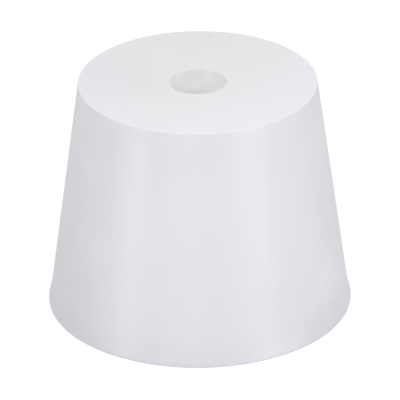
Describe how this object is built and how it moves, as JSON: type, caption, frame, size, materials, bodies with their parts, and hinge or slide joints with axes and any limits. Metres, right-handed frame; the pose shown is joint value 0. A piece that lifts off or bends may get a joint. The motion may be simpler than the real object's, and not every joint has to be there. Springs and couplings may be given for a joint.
{
  "type": "rubber stopper",
  "caption": "Solid tapered stopper of milky white rubber with a straight central hole for a glass tube; it plugs the neck of a flask, bottle or wide test tube.",
  "frame": {"origin": "centre of the wide end face, on the axis of the hole", "axes": "+Z along the stopper's axis from the wide end, which it stands on, to the narrow end; the body is round, so X and Y are any two directions square to the axis"},
  "size_m": [0.032, 0.032, 0.025],
  "materials": {
    "white_rubber": "satin"
  },
  "bodies": {
    "root": {"stopper": "white_rubber"}
  },
  "joints": []
}
